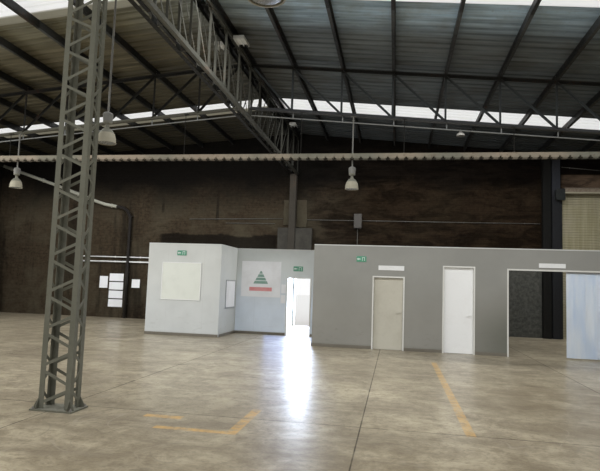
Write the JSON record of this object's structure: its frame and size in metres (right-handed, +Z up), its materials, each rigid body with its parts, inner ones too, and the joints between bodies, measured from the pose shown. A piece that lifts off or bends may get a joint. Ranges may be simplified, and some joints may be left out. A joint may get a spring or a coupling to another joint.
{
  "type": "factory hall",
  "caption": "Open-ended bays of a steel-framed factory hall: lattice roof steel, ribbed gable roof with rooflights, brick walls, and partition rooms with hinged doors.",
  "frame": {"origin": "middle of the floor slab's underside, on the ground", "axes": "+X across the hall to the right, +Y along the ridge towards the back wall, +Z up"},
  "size_m": [28.9, 32.8, 8.3904],
  "materials": {
    "concrete_floor": "polished",
    "brickwork": "rough",
    "render_block": "rough",
    "grey_steel": "satin",
    "dark_steel": "satin",
    "roof_sheet": "dull",
    "translucent_sheet": "satin",
    "rainwater_goods": "satin",
    "partition_paint": "matt paint on board",
    "ceiling_board": "matt",
    "pale_paint": "satin",
    "strip_plastic": "clear, worn",
    "shutter_paint": "dull",
    "lamp_metal": "satin",
    "conduit_paint": "satin",
    "rail_paint": "worn paint"
  },
  "bodies": {
    "hall": {"floor_slab": "concrete_floor", "back_wall_left": "brickwork", "back_wall_middle": "brickwork", "back_wall_right": "brickwork", "back_wall_lintels": "brickwork", "side_wall_left": "brickwork", "side_wall_right": "brickwork", "side_columns_left": "dark_steel", "side_columns_right": "dark_steel", "ridge_column_front": "grey_steel", "ridge_column_middle": "grey_steel", "ridge_pier_back": "grey_steel", "pier_corbel": "render_block", "ridge_girder_front": "grey_steel", "ridge_girder_back": "grey_steel", "rafters_frame_1": "dark_steel", "rafters_frame_2": "dark_steel", "rafters_frame_3": "dark_steel", "rafters_frame_4": "dark_steel", "purlins_left": "dark_steel", "purlins_right": "dark_steel", "roof_sheets_left": "roof_sheet", "roof_sheets_right": "roof_sheet", "rooflights_left": "translucent_sheet", "rooflights_right": "translucent_sheet", "ridge_cap": "roof_sheet", "gutters": "rainwater_goods", "outer_downpipes": "rainwater_goods", "room_front": "partition_paint", "store_front": "partition_paint", "recess_wall": "partition_paint", "partition_returns": "partition_paint", "partition_lintels": "partition_paint", "room_ceilings": "ceiling_board", "door_jambs": "pale_paint", "door_heads": "pale_paint", "strip_curtain": "strip_plastic", "roller_shutter": "shutter_paint", "shutter_guides": "dark_steel", "high_bay_lamps": "lamp_metal", "lighting_conduits": "conduit_paint", "services_rail": "rail_paint", "gable_post": "dark_steel"},
    "pale_door_leaf": {"pale_door": "pale_paint"},
    "tall_door_leaf": {"tall_door": "pale_paint"}
  },
  "joints": [
    {"name": "pale_door_hinge", "type": "hinge", "parent": "hall", "child": "pale_door_leaf", "pos_m": [3.743, 9.132, 0.15], "axis": [0, 0, 1], "range_deg": [0, 90]},
    {"name": "tall_door_hinge", "type": "hinge", "parent": "hall", "child": "tall_door_leaf", "pos_m": [5.683, 9.132, 0.15], "axis": [0, 0, 1], "range_deg": [0, 90]}
  ]
}
